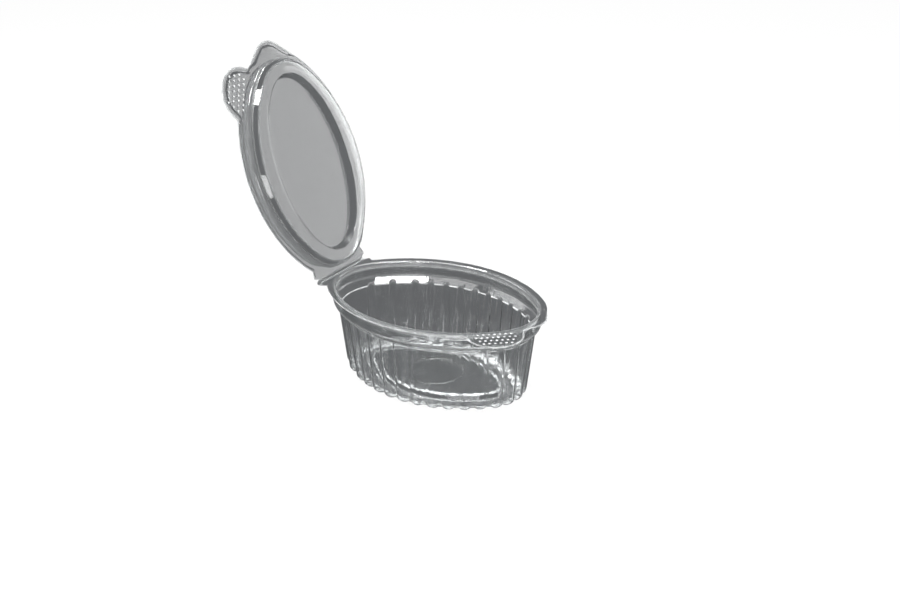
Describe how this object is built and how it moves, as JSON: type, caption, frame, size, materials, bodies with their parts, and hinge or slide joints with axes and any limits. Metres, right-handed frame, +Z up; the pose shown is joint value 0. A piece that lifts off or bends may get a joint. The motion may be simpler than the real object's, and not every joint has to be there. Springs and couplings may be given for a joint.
{
  "type": "hinged lid sauce cup",
  "caption": "Clear oval thermoformed sauce cup with a fluted wall, a flat flange with a grip tab and an attached plug lid on a living hinge, standing open.",
  "frame": {"origin": "on the table, under the middle of the cup's mouth oval", "axes": "+X from the hinge to the pointed tip, -Y towards the side with the grip tabs, +Z up"},
  "size_m": [0.1169, 0.0618, 0.1157],
  "materials": {
    "clear_sheet": "clear gloss"
  },
  "bodies": {
    "cup": {"cup": "clear_sheet", "living_hinge": "clear_sheet"},
    "lid": {"lid": "clear_sheet"}
  },
  "joints": [
    {"name": "lid_hinge", "type": "hinge", "parent": "cup", "child": "lid", "pos_m": [-0.0416, 0, 0.03315], "axis": [0, 1, 0], "range_deg": [-70, 110], "deforming": ["living_hinge"]}
  ]
}
